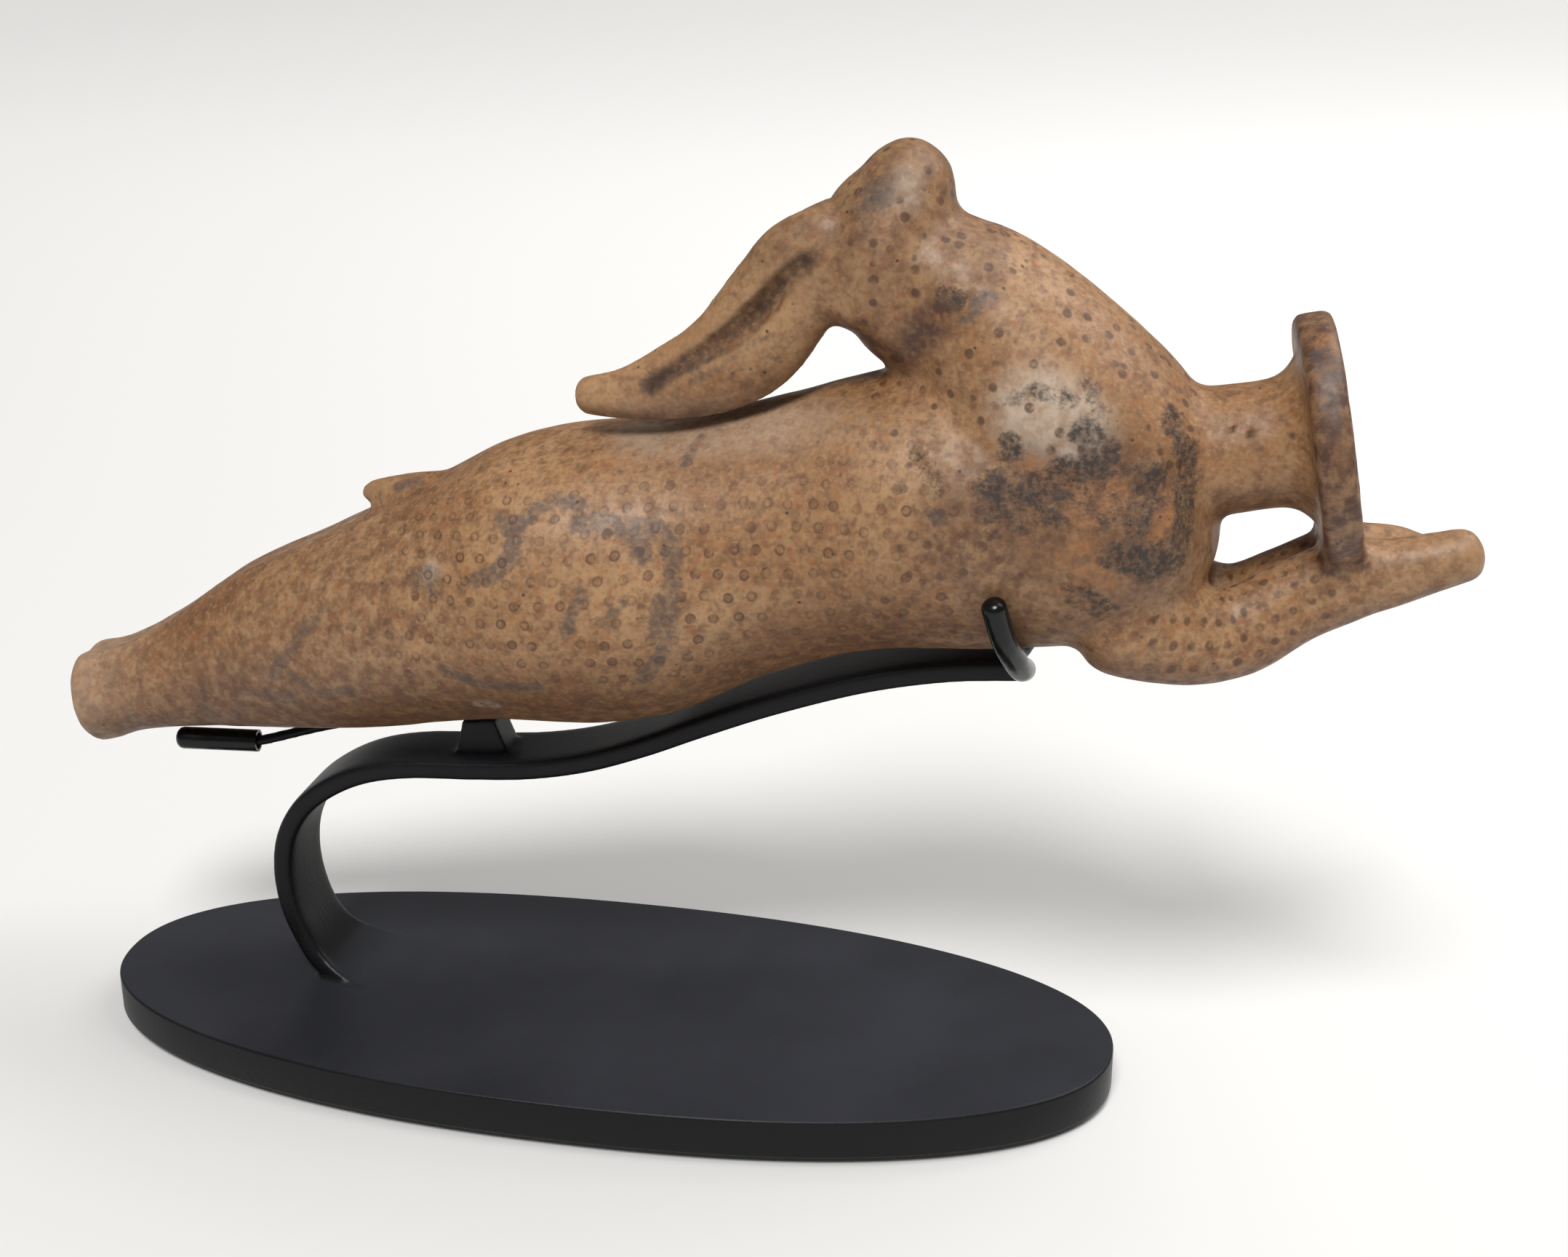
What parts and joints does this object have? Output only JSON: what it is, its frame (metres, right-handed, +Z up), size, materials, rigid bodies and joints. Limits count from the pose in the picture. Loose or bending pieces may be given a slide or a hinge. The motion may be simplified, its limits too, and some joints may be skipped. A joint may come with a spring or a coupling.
{
  "type": "plastic alabastron on display stand",
  "caption": "Hollow fired clay perfume flask shaped as a lying hare with long ears, its disc mouth at the chest, on a black metal stand with an oval base.",
  "frame": {"origin": "centre of the oval base, on the underside of its liner", "axes": "+X along the base from the hare's hind feet to its forepaws and the vessel's mouth, +Z up, +Y to the hare's left side"},
  "size_m": [0.2093, 0.0616, 0.1419],
  "materials": {
    "clay": "burnished, worn, satin",
    "black_paint": "satin",
    "sleeve": "smooth, slightly glossy",
    "liner": "matte felt"
  },
  "bodies": {
    "root": {"hare_vessel": "clay", "stand": "black_paint", "prong_sleeve_near": "sleeve", "prong_sleeve_far": "sleeve", "arm_sleeve": "sleeve", "base_liner": "liner"}
  },
  "joints": []
}
